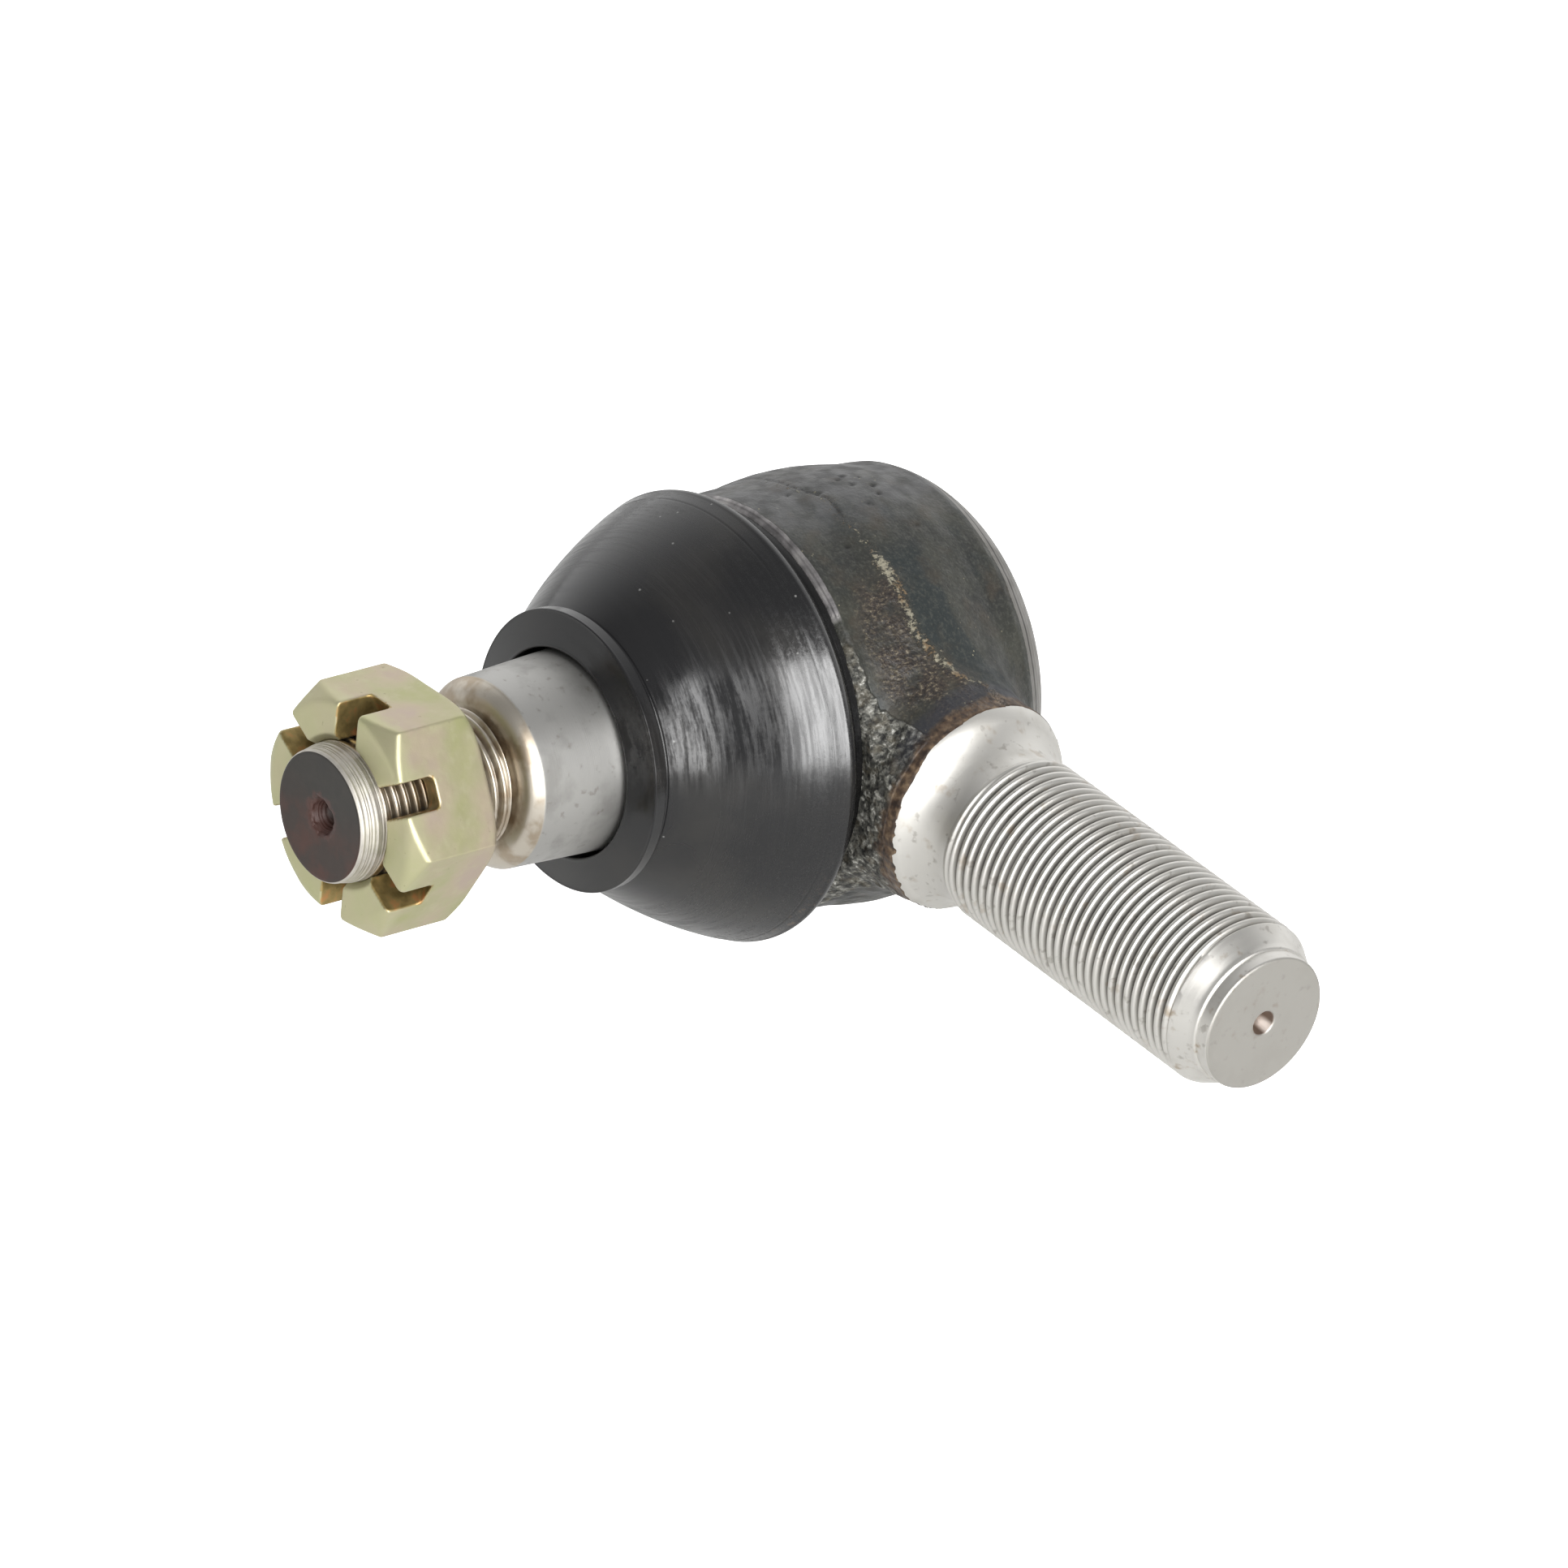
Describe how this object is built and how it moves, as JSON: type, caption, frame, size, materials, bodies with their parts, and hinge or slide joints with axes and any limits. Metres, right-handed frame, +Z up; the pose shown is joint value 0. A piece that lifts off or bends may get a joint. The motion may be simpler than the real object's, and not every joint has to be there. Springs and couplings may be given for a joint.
{
  "type": "tie rod end ball joint",
  "caption": "Steering tie rod end: forged ball socket with a threaded shank, tapered ball stud with slotted nut, and rubber dust boot.",
  "frame": {"origin": "centre of the ball, where the stud's axis crosses the shank's axis", "axes": "+X along the threaded shank away from the socket, -Y along the tapered stud, +Z up"},
  "size_m": [0.1604, 0.1319, 0.078],
  "materials": {
    "forged_steel": "black forging scale, turned bright on the shank",
    "turned_steel": "turned and lightly oxidised",
    "yellow_zinc": "yellow passivated zinc",
    "seat_plastic": "moulded acetal",
    "spring_steel": "oiled spring steel",
    "cap_steel": "pressed steel, light oil",
    "boot_rubber": "moulded black rubber, semi-gloss",
    "ring_steel": "plain steel wire"
  },
  "bodies": {
    "housing": {"socket_housing": "forged_steel", "end_cap": "cap_steel", "upper_ball_seat": "seat_plastic", "lower_ball_seat": "seat_plastic", "preload_spring": "spring_steel", "boot_base_ring": "ring_steel"},
    "boot": {"dust_boot": "boot_rubber"},
    "boot_neck": {"boot_neck_ring": "ring_steel"},
    "stud": {"ball_stud": "turned_steel", "castle_nut": "yellow_zinc"}
  },
  "joints": [
    {"name": "stud_swing_sideways", "type": "hinge", "parent": "housing", "child": "boot", "pos_m": [0, 0, 0], "axis": [0, 0, 1], "range_deg": [-20, 20], "deforming": ["dust_boot"]},
    {"name": "stud_swing_up_down", "type": "hinge", "parent": "boot", "child": "boot_neck", "pos_m": [0, 0, 0], "axis": [1, 0, 0], "range_deg": [-20, 20], "deforming": ["dust_boot"]},
    {"name": "stud_spin", "type": "hinge", "parent": "boot_neck", "child": "stud", "pos_m": [0, 0, 0], "axis": [0, -1, 0], "continuous": true}
  ]
}
